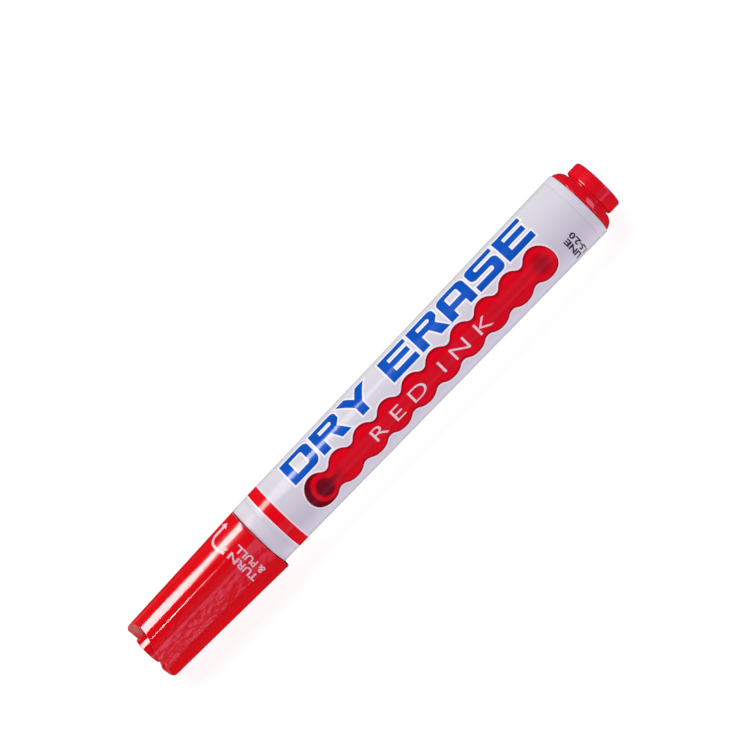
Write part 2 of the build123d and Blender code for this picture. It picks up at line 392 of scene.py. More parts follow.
def ribs_around(name, rib, count, finish):
    """Repeats one rib evenly round the marker's axis with Geometry Nodes, as a plain mesh."""
    tree = bpy.data.node_groups.new(name, "GeometryNodeTree")
    tree.interface.new_socket("Geometry", in_out="INPUT", socket_type="NodeSocketGeometry")
    ribs = tree.interface.new_socket("Rib count", in_out="INPUT", socket_type="NodeSocketInt")
    height = tree.interface.new_socket("Axis height", in_out="INPUT", socket_type="NodeSocketFloat")
    tree.interface.new_socket("Geometry", in_out="OUTPUT", socket_type="NodeSocketGeometry")
    given = node(tree, "NodeGroupInput")
    middle = node(tree, "ShaderNodeCombineXYZ", {"Z": given.outputs["Axis height"]})
    points = node(tree, "GeometryNodeMeshLine", {
        "Count": given.outputs["Rib count"], "Start Location": middle.outputs["Vector"],
        "Offset": (0, 0, 0),
    })
    step = node(tree, "ShaderNodeMath", operation="DIVIDE")
    fill(tree, step, {0: 2 * math.pi, 1: given.outputs["Rib count"]})
    number = node(tree, "GeometryNodeInputIndex")
    turn_by = node(tree, "ShaderNodeMath", operation="MULTIPLY")
    fill(tree, turn_by, {0: number.outputs["Index"], 1: step.outputs["Value"]})
    about_axis = node(tree, "ShaderNodeCombineXYZ", {"X": turn_by.outputs["Value"]})
    copies = node(tree, "GeometryNodeInstanceOnPoints", {
        "Points": points.outputs["Mesh"], "Instance": given.outputs["Geometry"],
        "Rotation": about_axis.outputs["Vector"],
    })
    real = node(tree, "GeometryNodeRealizeInstances", {"Geometry": copies.outputs["Instances"]})
    painted = node(tree, "GeometryNodeSetMaterial", {
        "Geometry": real.outputs["Geometry"], "Material": finish,
    })
    node(tree, "NodeGroupOutput", {"Geometry": painted.outputs["Geometry"]})
    modifier = rib.modifiers.new(name, "NODES")
    modifier.node_group = tree
    modifier[ribs.identifier] = count
    modifier[height.identifier] = axis_z
    bpy.context.view_layer.update()
    mesh = bpy.data.meshes.new_from_object(rib.evaluated_get(bpy.context.evaluated_depsgraph_get()))
    rib.modifiers.remove(modifier)
    bpy.data.objects.remove(rib)
    return added(name, mesh)


def rib_blank(name, start, end, inner, outer_start, outer_end, width):
    """One straight rib below the axis, between its inner edge and the wall that it grows from."""
    build = bmesh.new()
    ends = []
    for x, outer in ((start, outer_start), (end, outer_end)):
        ends.append([
            build.verts.new((x, side * width / 2, z))
            for side, z in ((-1, inner), (1, inner), (1, outer), (-1, outer))
        ])
    build.faces.new(ends[0])
    build.faces.new(ends[1])
    for i in range(4):
        j = (i + 1) % 4
        build.faces.new((ends[0][i], ends[0][j], ends[1][j], ends[1][i]))
    edges = [e for e in build.edges if e.verts[0].co.z == inner and e.verts[1].co.z == inner]
    rounding = 0.12 * width
    bmesh.ops.bevel(build, geom=edges, offset=rounding, segments=2, affect="EDGES")
    return as_object(name, build)


front_bore = front_radius - barrel_wall
rear_bore = rear_radius - barrel_wall
wrap_radius = (wrap_high.y - wrap_low.y) / 2
rib_start, rib_end = front_x + front_socket, rear_x - rear_socket
rib_root = barrel_wall / 4
barrel_ribs = ribs_around(
    "barrel_ribs",
    rib_blank("barrel_rib", rib_start, rib_end, wrap_radius + rib_gap,
              front_bore + rib_root, rear_bore + rib_root, rib_width),
    rib_count, barrel_white,
)
place(barrel_ribs, barrel_white, "barrel")

# ---------------------------------------------------------------------------------------------
# Label. A glossy white plastic film, wrapped round the barrel and glued into its recess. Its edges
# show as fine lines near the two ends of the barrel.
# ---------------------------------------------------------------------------------------------
label_skin = 0.005 * mm
label_gap = 0.03 * mm
film_start, film_end = label_low.x + label_gap, label_high.x - label_gap
film_white = moulded("label_white", cool_white, roughness=0.09, mottle=0.015,
                     peel=0.0015 * mm, peel_size=0.9 * mm, shine=0.10)
label_outline = softened([
    (film_start, barrel_radius(label_low.x) + label_skin, 0.02 * mm),
    (film_end, barrel_radius(label_high.x) + label_skin, 0.02 * mm),
    (film_end, barrel_radius(label_high.x) - recess + label_skin, 0),
    (film_start, barrel_radius(label_low.x) - recess + label_skin, 0),
], steps=3)
place(turned("label_film", label_outline), film_white, "barrel", ["barrel_label"])

# ---------------------------------------------------------------------------------------------
# Print on the label. Glossy inks, screened on in thin layers over each other: a red ring, a blue
# legend with a white edge, a red strip of ten joined bubbles with a pale edge and small pale
# letters on it, and two short black rows.
# ---------------------------------------------------------------------------------------------
print_radius = 8.15 * mm
ink_depth = 0.012 * mm
first_layer, second_layer, third_layer = 0.004 * mm, 0.018 * mm, 0.032 * mm


def on_barrel(height):
    """A wrap of flat print round the barrel, centred at this height angle over the near side."""
    def wrap(along, around, lift):
        angle = math.radians(height) + around / print_radius
        radius = barrel_radius(along) + label_skin + lift
        return Vector((along, -radius * math.cos(angle), axis_z + radius * math.sin(angle)))
    return wrap


def laid_ink(name, flat, wrap, lift, finish, body="barrel", step=0.30 * mm, along_step=None):
    """Cuts flat print into narrow strips and lays it on a wrap as a thin closed layer of ink."""
    bmesh.ops.triangulate(flat, faces=flat.faces)
    for axis, every in ((1, step), (0, along_step)):
        if not every:
            continue
        normal = Vector((0, 0, 0))
        normal[axis] = 1
        values = [v.co[axis] for v in flat.verts]
        low, count = min(values), int((max(values) - min(values)) / every)
        for k in range(1, count + 1):
            point = normal * (low + k * every)
            parts = flat.verts[:] + flat.edges[:] + flat.faces[:]
            bmesh.ops.bisect_plane(flat, geom=parts, plane_co=point, plane_no=normal, dist=1e-9)
    bmesh.ops.remove_doubles(flat, verts=flat.verts, dist=1e-8)
    build = bmesh.new()
    top = [build.verts.new(wrap(v.co.x, v.co.y, lift + ink_depth)) for v in flat.verts]
    base = [build.verts.new(wrap(v.co.x, v.co.y, lift)) for v in flat.verts]
    flat.verts.index_update()
    for face in flat.faces:
        ids = [v.index for v in face.verts]
        build.faces.new([top[i] for i in ids])
        build.faces.new([base[i] for i in reversed(ids)])
    for edge in flat.edges:
        if len(edge.link_faces) == 1:
            i, j = (v.index for v in edge.verts)
            build.faces.new((top[i], top[j], base[j], base[i]))
    made = as_object(name, build, sharp=40, merge=0)
    return place(made, finish, body)


def ink(name, color, mottle=0.06, roughness=0.12, shine=0.5):
    """Glossy printing ink, laid a little unevenly."""
    return moulded(name, color, roughness, mottle, peel=0.002 * mm, peel_size=0.9 * mm, shine=shine)


red_ink = ink("red_ink", (0.90, 0.002, 0.010))
blue_ink = ink("blue_ink", (0.003, 0.097, 0.575), mottle=0.22)
white_ink = ink("white_ink", (0.97, 0.96, 0.99), mottle=0.02, shine=0.2)
black_ink = ink("black_ink", (0.03, 0.025, 0.05), mottle=0.2, roughness=0.4)
pink_ink = ink("pale_edge_ink", (0.99, 0.91, 0.96), mottle=0.02, shine=0.2)


# The ring goes all the way round, a few millimetres behind the cap, between two pale lines.
ring_middle = front_x + 5.95 * mm
ring_half = 1.33 * mm
ring_edge = 0.30 * mm


def ring_of_ink(name, low, high, lift, finish):
    """A closed band of ink round the barrel between two stations."""
    base = [barrel_radius(x) + label_skin + lift for x in (low, high)]
    outline = [Vector((low, base[0])), Vector((low, base[0] + ink_depth)),
               Vector((high, base[1] + ink_depth)), Vector((high, base[1]))]
    return place(turned(name, outline), finish, "barrel")


ring_of_ink("ring_pale_edges", ring_middle - ring_half - ring_edge,
            ring_middle + ring_half + ring_edge, first_layer, pink_ink)
ring_of_ink("ring_red", ring_middle - ring_half, ring_middle + ring_half, second_layer, red_ink)


def flat_print(curve):
    """The filled shape of a flat curve or of letters. The curve is used up."""
    shown = added(curve.name, curve)
    bpy.context.view_layer.update()
    graph = bpy.context.evaluated_depsgraph_get()
    mesh = bpy.data.meshes.new_from_object(shown.evaluated_get(graph))
    flat = bmesh.new()
    flat.from_mesh(mesh)
    bpy.data.objects.remove(shown)
    bpy.data.curves.remove(curve)
    bpy.data.meshes.remove(mesh)
    bmesh.ops.remove_doubles(flat, verts=flat.verts, dist=1e-6)
    return flat


def letters(text, weight):
    """Flat print: plain capital letters, made bolder by weight."""
    curve = bpy.data.curves.new("letters", "FONT")
    curve.body = text
    curve.offset = weight
    curve.resolution_u = 5
    return flat_print(curve)


def span(flat):
    """Lowest and highest flat corners."""
    xs, ys = [v.co.x for v in flat.verts], [v.co.y for v in flat.verts]
    return Vector((min(xs), min(ys), 0)), Vector((max(xs), max(ys), 0))


def fitted(flat, along_low, along_high, height):
    """Scales and moves flat letters so that they fill this length and height."""
    low, high = span(flat)
    size = high - low
    middle = (low + high) / 2
    length = along_high - along_low
    for v in flat.verts:
        x = (v.co.x - middle.x) * length / size.x
        y = (v.co.y - middle.y) * height / size.y
        v.co = Vector((x + (along_low + along_high) / 2, y, 0))
    return flat


# The legend: wide block capitals along the barrel, above the strip of bubbles.
legend = "DRY ERASE"
letter_height = 6.85 * mm
letter_width = 7.95 * mm
upright, crossbar = 2.15 * mm, 1.52 * mm
letter_gap, word_gap = 0.92 * mm, 4.6 * mm
legend_low = -21.8 * mm
legend_angle = 97.3
legend_edge = 0.42 * mm


def block_capital(letter):
    """Outlines of one block capital, each a list of (x, y, rounding), holes after the outside."""
    w, h, u, t = letter_width, letter_height, upright, crossbar
    low, high = (h - t) / 2, (h + t) / 2
    wide, small = 1.7 * mm, 0.5 * mm
    if letter == "D":
        return [
            [(0, 0, 0), (w, 0, wide), (w, h, wide), (0, h, 0)],
            [(u, t, 0), (w - u, t, small), (w - u, h - t, small), (u, h - t, 0)],
        ]
    if letter == "R":
        return [
            [(0, 0, 0), (u, 0, 0), (u, low, 0), (w - 3.7 * mm, low, 0), (w - u - 0.2 * mm, 0, 0),
             (w + 0.3 * mm, 0, 0), (w - 1.55 * mm, low + 0.3 * mm, 0),
             (w - 0.25 * mm, high, 0.6 * mm), (w - 0.25 * mm, h, wide), (0, h, 0)],
            [(u, high, 0), (w - u, high, small), (w - u, h - t, small), (u, h - t, 0)],
        ]
    if letter == "Y":
        middle, fork = w / 2, 0.36 * h
        return [
            [(middle - u / 2, 0, 0), (middle + u / 2, 0, 0), (middle + u / 2, fork, 0),
             (w + 0.35 * mm, h, 0), (w - 2.2 * mm, h, 0), (middle, fork + 1.7 * mm, 0),
             (2.2 * mm, h, 0), (-0.35 * mm, h, 0), (middle - u / 2, fork, 0)],
        ]
    if letter == "E":
        return [
            [(0, 0, 0), (w, 0, 0), (w, t, 0), (u, t, 0), (u, low, 0), (w - 0.5 * mm, low, 0),
             (w - 0.5 * mm, high, 0), (u, high, 0), (u, h - t, 0), (w, h - t, 0), (w, h, 0),
             (0, h, 0)],
        ]
    if letter == "A":
        foot = 1.55 * mm
        return [
            [(0, 0, 0), (u, 0, 0), (u, foot, 0), (w - u, foot, 0), (w - u, 0, 0), (w, 0, 0),
             (w, h, wide), (0, h, wide)],
            [(u, foot + t, 0), (w - u, foot + t, 0), (w - u, h - t, small), (u, h - t, small)],
        ]
    # The last one is S.
    return [
        [(0, 0, 0), (w, 0, 1.3 * mm), (w, high, 1.3 * mm), (u, high, small), (u, h - t, small),
         (w, h - t, 0), (w, h, 0), (0, h, 1.3 * mm), (0, low, 1.3 * mm), (w - u, low, small),
         (w - u, t, small), (0, t, 0)],
    ]


def block_legend(words, grow):
    """Flat print: a line of block capitals, with outlines moved outwards by grow."""
    curve = bpy.data.curves.new("block_legend", "CURVE")
    curve.dimensions = "2D"
    curve.fill_mode = "FRONT"
    curve.offset = grow
    along = legend_low
    for letter in words:
        if letter == " ":
            along += word_gap - letter_gap
            continue
        for number, corners in enumerate(block_capital(letter)):
            outline = softened(corners, steps=6)
            if number:
                outline.reverse()
            spline = curve.splines.new("POLY")
            spline.points.add(len(outline) - 1)
            for point, (x, y) in zip(spline.points, outline):
                point.co = (along + x, y - letter_height / 2, 0, 1)
            spline.use_cyclic_u = True
        along += letter_width + letter_gap
    return flat_print(curve)


laid_ink("legend_edge", block_legend(legend, legend_edge), on_barrel(legend_angle),
         first_layer, white_ink)
laid_ink("legend_blue", block_legend(legend, 0), on_barrel(legend_angle), second_layer, blue_ink)

# The strip: ten discs in a row, joined by small fillets, drawn a little tall round the barrel.
bubble_count = 10
bubble_pitch = 7.43 * mm
bubble_radius = 3.78 * mm
waist_radius = 1.80 * mm
strip_first = -18.66 * mm
strip_angle = 37.6
strip_stretch = 1.13
strip_edge = 0.36 * mm


def strip_half_height(along, grow):
    """Half the height of the row of bubbles at this station, grown outwards by an edge."""
    convex, concave = bubble_radius + grow, waist_radius - grow
    reach = bubble_pitch / 2 / (bubble_radius + waist_radius)
    rise = math.sqrt(1 - reach * reach)
    nearest = min(range(bubble_count), key=lambda k: abs(along - strip_first - k * bubble_pitch))
    offset = along - strip_first - nearest * bubble_pitch
    outward = (nearest == 0 and offset < 0) or (nearest == bubble_count - 1 and offset > 0)
    if outward or abs(offset) <= convex * reach:
        return math.sqrt(max(0, convex * convex - offset * offset))
    across = bubble_pitch / 2 - abs(offset)
    return (bubble_radius + waist_radius) * rise - math.sqrt(concave * concave - across * across)


def strip_of_bubbles(grow, rows=36, column=0.16 * mm):
    """Flat print: the row of bubbles as a fine grid, closer at its two round ends."""
    radius = bubble_radius + grow
    low = strip_first - radius
    high = strip_first + (bubble_count - 1) * bubble_pitch + radius
    stations = []
    end_steps = 22
    for k in range(end_steps):
        stations.append(low + radius * (1 - math.cos(math.pi / 2 * k / end_steps)))
    straight = int((high - low - 2 * radius) / column)
    for k in range(straight + 1):
        stations.append(low + radius + (high - low - 2 * radius) * k / straight)
    for k in range(1, end_steps + 1):
        stations.append(high - radius * (1 - math.sin(math.pi / 2 * k / end_steps)))
    flat = bmesh.new()
    columns = []
    for along in stations:
        half = max(strip_half_height(along, grow), 1e-7) * strip_stretch
        columns.append([
            flat.verts.new((along, half * (2 * k / rows - 1), 0)) for k in range(rows + 1)
        ])
    for left, right in zip(columns, columns[1:]):
        for k in range(rows):
            flat.faces.new((left[k], right[k], right[k + 1], left[k + 1]))
    return flat


def strip_ink():
    """Red ink that deepens to maroon where the piece's shade attribute says."""
    finish = ink("strip_ink", (0.88, 0.0025, 0.016), shine=0.22)
    tree = finish.node_tree
    skin = tree.nodes["Principled BSDF"]
    plain = skin.inputs["Base Color"].links[0].from_socket
    maroon = (0.125, 0.003, 0.011, 1)
    shade = node(tree, "ShaderNodeAttribute", attribute_name="shade")
    deep = node(tree, "ShaderNodeMix", data_type="RGBA")
    fill(tree, deep, {"Factor": shade.outputs["Fac"], 6: plain, 7: maroon})
    fill(tree, skin, {"Base Color": deep.outputs[2]})
    return finish


def eased(value, low, high):
    """0 below low, 1 above high and a smooth step between."""
    t = min(1, max(0, (value - low) / (high - low)))
    return t * t * (3 - 2 * t)


def strip_shade(along, around):
    """How deep the strip's red is at this flat place, from 0 to 1: a ring and a crescent at the
    front end, a soft dot at the rear end and a fine dark rim all round."""
    y = around / strip_stretch
    half = strip_half_height(along, 0)
    eye = strip_first + 1.0 * mm
    reach = math.hypot(along - eye, y)
    inside = max(1 - eased(reach, 1.75 * mm, 2.35 * mm),
                 eased(along, eye, eye + 1.5 * mm) * eased(half - abs(y), 1.2 * mm, 2.0 * mm))
    tail = 1 - eased(along, eye + 0.2 * mm, eye + 6.5 * mm)
    crescent = eased(reach, 2.95 * mm, 3.40 * mm)
    crescent *= 1 - eased(along, eye - 0.6 * mm, eye + 2.4 * mm)
    last = strip_first + (bubble_count - 1) * bubble_pitch
    reach = math.hypot(along - last, y)
    dot = (1 - eased(reach, 1.0 * mm, 2.9 * mm)) * eased(along, last - 3.6 * mm, last - 0.4 * mm)
    rim = 1 - eased(half - abs(y), 0.12 * mm, 0.75 * mm)
    middle = eased(half - abs(y), 1.2 * mm, 2.8 * mm)
    return min(0.92, 0.84 * inside * tail + crescent + 0.40 * dot + 0.72 * rim + 0.07 * middle)


laid_ink("strip_edge", strip_of_bubbles(strip_edge, rows=20), on_barrel(strip_angle),
         first_layer, pink_ink, step=None)
strip_red = laid_ink("strip_red", strip_of_bubbles(0), on_barrel(strip_angle),
                     second_layer, strip_ink(), step=None)
shade = strip_red.data.attributes.new("shade", "FLOAT", "POINT")
for vertex in strip_red.data.vertices:
    x, y, z = vertex.co
    angle = math.atan2(z - axis_z, -y) - math.radians(strip_angle)
    shade.data[vertex.index].value = strip_shade(x, angle * print_radius)

# Small open letters along the middle of the strip, spaced out.
caption_ink = ink("caption_ink", (0.97, 0.78, 0.84), mottle=0.03)
caption_low, caption_high = -3.0 * mm, 32.4 * mm
caption_height = 3.0 * mm
caption = fitted(letters("R E D  I N K", weight=-0.008), caption_low, caption_high, caption_height)
laid_ink("caption_white", caption, on_barrel(strip_angle), third_layer, caption_ink)


def quarter_turned(flat):
    """Turns flat print a quarter turn, so that it reads up round the marker."""
    for v in flat.verts:
        v.co = Vector((-v.co.y, v.co.x, 0))
    return flat


# The line's width stands across the barrel near its rear, in two short black rows.
mark_angle = 14.5
row_height = 1.42 * mm
for name, words, row_start, row_length in (
    ("mark_line", "LINE", 54.75 * mm, 6.4 * mm),
    ("mark_width", "1.5-2.0", 56.5 * mm, 7.0 * mm),
):
    flat = quarter_turned(letters(words, weight=0.036))
    fitted(flat, row_start, row_start + row_height, row_length)
    laid_ink(name, flat, on_barrel(mark_angle), first_layer, black_ink)

# ---------------------------------------------------------------------------------------------
# Front section. A white moulded plug in the front of the barrel: a neck with a snap bead for the
# cap, a tapered nose and a tube that grips the nib.
# ---------------------------------------------------------------------------------------------
nib_low, nib_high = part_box("nib")
nib_radius = (nib_high.y - nib_low.y) / 2
neck = 5.10 * mm
bead = 0.15 * mm
neck_end = front_x - 9.6 * mm
bead_x = front_x - 5.0 * mm
nose_base = neck - 0.70 * mm
nose_tip = nib_radius + 0.90 * mm
spigot_end = section_high.x
section_bore = front_bore - 1.3 * mm
flange_end = front_x + 1.5 * mm
tube_radius = nib_radius + 1.0 * mm
tube_end = front_x + 8.0 * mm
section_white = moulded("section_white", (0.78, 0.78, 0.80), roughness=0.38, mottle=0.02,
                        peel=0.006 * mm, peel_size=0.6 * mm)
section_outline = softened([
    (section_low.x, nib_radius, 0.08 * mm),
    (section_low.x, nose_tip, 0.30 * mm),
    (neck_end - 0.5 * mm, nose_base, 0.4 * mm),
    (neck_end, nose_base + 0.1 * mm, 0.1 * mm),
    (neck_end, neck, 0.35 * mm),
    (bead_x - 0.5 * mm, neck, 0.2 * mm),
    (bead_x, neck + bead, 0.2 * mm),
    (bead_x + 0.5 * mm, neck, 0.2 * mm),
    (front_x, neck, 0.1 * mm),
    (front_x, front_bore, 0.05 * mm),
    (spigot_end, front_bore, 0.3 * mm),
    (spigot_end, section_bore, 0.1 * mm),
    (flange_end, section_bore, 0.2 * mm),
    (flange_end, tube_radius, 0.2 * mm),
    (tube_end, tube_radius, 0.2 * mm),
    (tube_end, nib_radius, 0.05 * mm),
])
place(turned("front_piece", section_outline), section_white, "barrel", ["front_section"])

# ---------------------------------------------------------------------------------------------
# Nib. A bullet of bonded acrylic fibre, ground to a round point and soaked with red ink, so its
# fibres show as fine lines along it.
# ---------------------------------------------------------------------------------------------


def fibre(name, pale, soaked, line_size, depth):
    """Bonded fibres that run along the marker, unevenly soaked with ink."""
    finish, tree, skin = blank(name)
    spot = node(tree, "ShaderNodeTexCoord").outputs["Object"]
    drawn = node(tree, "ShaderNodeMapping", {"Vector": spot, "Scale": (0.06, 1, 1)})
    lines = node(tree, "ShaderNodeTexNoise", {
        "Vector": drawn.outputs["Vector"], "Scale": 1 / line_size, "Detail": 5, "Roughness": 0.7,
    })
    soak = node(tree, "ShaderNodeTexNoise", {"Vector": spot, "Scale": 500})
    share = node(tree, "ShaderNodeMath", operation="MULTIPLY")
    fill(tree, share, {0: soak.outputs["Fac"], 1: 0.4})
    both = node(tree, "ShaderNodeMath", operation="MULTIPLY_ADD")
    fill(tree, both, {0: lines.outputs["Fac"], 1: 0.6, 2: share.outputs["Value"]})
    ramp = node(tree, "ShaderNodeValToRGB", {"Fac": both.outputs["Value"]})
    for stop, position, color in zip(ramp.color_ramp.elements, (0.36, 0.64), (soaked, pale)):
        stop.position = position
        stop.color = (*color, 1)
    bump = node(tree, "ShaderNodeBump", {"Height": lines.outputs["Fac"], "Distance": depth})
    fill(tree, skin, {
        "Base Color": ramp.outputs["Color"], "Roughness": 0.62, "Sheen Weight": 0.25,
        "Normal": bump.outputs["Normal"],
    })
    return finish


nib_fibre = fibre("red_nib_fibre", pale=(0.66, 0.04, 0.07), soaked=(0.30, 0.004, 0.015),
                  line_size=0.12 * mm, depth=0.03 * mm)
nib_exposed = 7.0 * mm
bullet_length = nib_exposed * 0.62
bullet_fullness = 0.86
bullet_steps = 24
bullet = [Vector((nib_low.x, 0))]
for k in range(1, bullet_steps + 1):
    a = math.pi / 2 * k / bullet_steps
    bullet.append(Vector((
        nib_low.x + (1 - math.cos(a)) * bullet_length,
        nib_radius * math.sin(a) ** bullet_fullness,
    )))
bullet += [Vector((nib_high.x, nib_radius)), Vector((nib_high.x, 0))]
place(turned("nib_bullet", bullet, steps=128), nib_fibre, "barrel", ["nib"])

# ---------------------------------------------------------------------------------------------
# Ink rod. A bundle of crimped polyester fibre, full of ink, in a thin plastic film. The CAD
# pieces are the right shape, so they only get their finishes.
# ---------------------------------------------------------------------------------------------
rod_fibre = fibre("ink_rod_fibre", pale=(0.80, 0.16, 0.20), soaked=(0.42, 0.01, 0.03),
                  line_size=0.20 * mm, depth=0.05 * mm)
film = moulded("ink_rod_film", (0.82, 0.62, 0.64), roughness=0.16, mottle=0.05,
               peel=0.006 * mm, peel_size=2.0 * mm, coat=0.6)
for name, finish in (("reservoir_core", rod_fibre), ("reservoir_wrap", film)):
    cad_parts[name].data.materials.clear()
    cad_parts[name].data.materials.append(finish)

# ---------------------------------------------------------------------------------------------
# Rear plug. Glossy red plastic, pushed into the back of the barrel: a domed shoulder, a finger
# groove and a round button outside, a hollow spigot and a prong for the ink rod inside.
# ---------------------------------------------------------------------------------------------
plug_low, plug_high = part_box("rear_plug")
sink_size, sink_depth = 2.4 * mm, 0.085 * mm


def red_plastic(name, color=(0.86, 0.002, 0.0085)):
    """Bright red moulded plastic with a high gloss and soft sink waves on its flats."""
    finish = moulded(name, color, roughness=0.10, mottle=0.05, peel=0.0012 * mm,
                     peel_size=0.7 * mm, depth=0.06, shine=0.75)
    tree = finish.node_tree
    skin = tree.nodes["Principled BSDF"]
    fine = skin.inputs["Normal"].links[0].from_socket
    wave = node(tree, "ShaderNodeTexNoise", {
        "Vector": node(tree, "ShaderNodeTexCoord").outputs["Object"],
        "Scale": 1 / sink_size, "Detail": 2, "Roughness": 0.55,
    })
    flats = node(tree, "ShaderNodeAttribute", attribute_name="flatness")
    amount = node(tree, "ShaderNodeMath", operation="MULTIPLY")
    fill(tree, amount, {0: wave.outputs["Fac"], 1: flats.outputs["Fac"]})
    sink = node(tree, "ShaderNodeBump", {
        "Height": amount.outputs["Value"], "Distance": sink_depth, "Normal": fine,
    })
    fill(tree, skin, {"Normal": sink.outputs["Normal"]})
    return finish


plug_red = red_plastic("plug_red", (0.86, 0.005, 0.017))
spigot_radius = rear_bore - 0.05 * mm
spigot_bore = spigot_radius - 1.20 * mm
spigot_start = rear_x - rear_socket + 1.0 * mm
flange_x = rear_x + 0.10 * mm
shoulder_end = flange_x + 2.15 * mm
shoulder_radius = rear_radius - 0.30 * mm
dome_radius = shoulder_radius - 0.75 * mm
rim_radius = shoulder_radius - 1.60 * mm
dome_inset = 0.45 * mm
groove_radius = 5.60 * mm
button_start = shoulder_end + 0.65 * mm
button_radius = 6.30 * mm
prong_outer, prong_inner = 3.0 * mm, 2.0 * mm
plug_floor = flange_x + 1.075 * mm
plug_outline = softened([
    (spigot_start, spigot_bore, 0.2 * mm),
    (spigot_start, spigot_radius, 0.4 * mm),
    (flange_x, spigot_radius, 0.05 * mm),
    (flange_x, shoulder_radius, 0.12 * mm),
    (flange_x + dome_inset, shoulder_radius, 0.3 * mm),
    (shoulder_end - dome_inset, dome_radius, 1.5 * mm),
    (shoulder_end, rim_radius, 0.12 * mm),
    (shoulder_end, groove_radius, 0.18 * mm),
    (button_start, groove_radius, 0.22 * mm),
    (button_start, button_radius, 0.45 * mm),
    (plug_high.x, button_radius, 0.60 * mm),
    (plug_high.x, 0, 0),
    (plug_floor, 0, 0),
    (plug_floor, prong_inner, 0.1 * mm),
    (plug_low.x, prong_inner, 0.1 * mm),
    (plug_low.x, prong_outer, 0.2 * mm),
    (plug_floor, prong_outer, 0.2 * mm),
    (plug_floor, spigot_bore, 0.2 * mm),
], steps=8)
place(turned("tail_plug", plug_outline, steps=256), plug_red, "plug", ["rear_plug"])

# ---------------------------------------------------------------------------------------------
# Sealing cup. A round cup of red plastic that snaps over the neck and keeps the nib wet. It sits
# inside the cap's shell, and its nub shows in the middle of the cap's end.
# ---------------------------------------------------------------------------------------------
cup_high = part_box("cap_liner")[1]
shell_low, shell_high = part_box("cap_shell")
cap_end, cap_mouth = shell_low.x, shell_high.x
cap_wall = 1.30 * mm
turning_gap = 0.10 * mm
flat_at_mouth = axis_z - shell_low.z
lobe_at_mouth = shell_high.z - axis_z
flat_at_end = flat_at_mouth - 0.90 * mm
lobe_at_end = flat_at_end + 1.15 * mm
nub_radius, nub_bore = 3.40 * mm, 2.2 * mm
nub_floor = cap_end + 1.2 * mm
cup_wall = 0.90 * mm
cup_end = cap_end + 3.5 * mm
cup_floor = cup_end + cup_wall
cup_bore = neck + bead + 0.05 * mm
bore_end = front_x - 10.6 * mm


def flat_at(x):
    """Distance from the axis to the cap's flats at station x."""
    return flat_at_end + (flat_at_mouth - flat_at_end) * (x - cap_end) / (cap_mouth - cap_end)


def lobe_at(x):
    """Distance from the axis to the crest of the cap's lobes at station x."""
    return lobe_at_end + (lobe_at_mouth - lobe_at_end) * (x - cap_end) / (cap_mouth - cap_end)


def cup_outside(x):
    """Outer radius of the sealing cup at station x."""
    return flat_at(x) - cap_wall - turning_gap


cup_red = red_plastic("cup_red", (0.80, 0.002, 0.010))
cup_outline = softened([
    (cup_high.x, cup_bore, 0.25 * mm),
    (cup_high.x, cup_outside(cup_high.x), 0.2 * mm),
    (cup_end, cup_outside(cup_end), 0.5 * mm),
    (cup_end, nub_radius, 0.1 * mm),
    (cap_end, nub_radius, 0.22 * mm),
    (cap_end, 0, 0),
    (nub_floor, 0, 0),
    (nub_floor, nub_bore, 0.2 * mm),
    (cup_floor, nub_bore, 0.2 * mm),
    (cup_floor, cup_outside(cup_floor) - cup_wall, 0.6 * mm),
    (bore_end, cup_bore, 0.3 * mm),
])
place(turned("sealing_cup", cup_outline), cup_red, "cap_cup", ["cap_liner"])

# ---------------------------------------------------------------------------------------------
# Cap shell. A three-lobed shell of glossy red plastic, moulded in one piece. It tapers towards its
# closed end and is fuller at the corners in a collar round its mouth, and a scoop is cut across the
# end of the upper lobe.
# ---------------------------------------------------------------------------------------------
collar_start = cap_mouth - 7.2 * mm
collar_lead = 1.3 * mm
hollow_end = cap_end + 4.4 * mm
nub_hole = nub_radius + 0.06 * mm
pocket_end = cup_end - turning_gap
notch_radius = 9.0 * mm
notch_at_nub, notch_at_crest = 2.7 * mm, 3.3 * mm


def from_lobe(angle):
    """The angle from the nearest lobe, from -60 to 60 degrees, in radians."""
    third = 2 * math.pi / 3
    return (angle + third / 2) % third - third / 2


def lobed_radius(angle, flat, lobe):
    """Radius of the rounded triangle with these flats and lobes at this angle from the top."""
    off = abs(from_lobe(angle))
    corner = 2 * (lobe - flat)
    rounding = 2 * flat - lobe
    if off < math.atan2(rounding * math.sin(math.pi / 3), corner + rounding / 2):
        return corner * math.cos(off) + math.sqrt(rounding ** 2 - (corner * math.sin(off)) ** 2)
    return flat / math.cos(math.pi / 3 - off)


def collar_radius(angle, flat, lobe):
    """Radius of the collar: straight flats cut from a round, with a small corner between."""
    straight = flat / math.cos(math.pi / 3 - abs(from_lobe(angle)))
    blend = 0.07 * mm
    return -blend * math.log(math.exp(-(straight - lobe) / blend) + 1) + lobe


def shell_outside(angle, x):
    """Outer radius of the cap's shell at this angle and station."""
    share = eased(x, collar_start, collar_start + collar_lead)
    slim = lobed_radius(angle, flat_at(x), lobe_at(x))
    if not share:
        return slim
    return slim + (collar_radius(angle, flat_at(x), lobe_at(x)) - slim) * share


def notch_depth(y, z):
    """How far the scoop goes below the cap's end at this place across the axis."""
    slope = (notch_at_crest - notch_at_nub) / (lobe_at_end - nub_radius)
    floor = (notch_at_nub + slope * (z - nub_radius)) * eased(z, -4.5 * mm, 0.5 * mm)
    depth = floor - notch_radius + math.sqrt(max(0, notch_radius ** 2 - y * y))
    soft = 0.05 * mm
    if depth > 20 * soft:
        return depth
    return soft * math.log(1 + math.exp(depth / soft))


def spaced(start, end, count):
    """Evenly spaced stations from start up to, but not including, end."""
    return [start + (end - start) * k / count for k in range(count)]


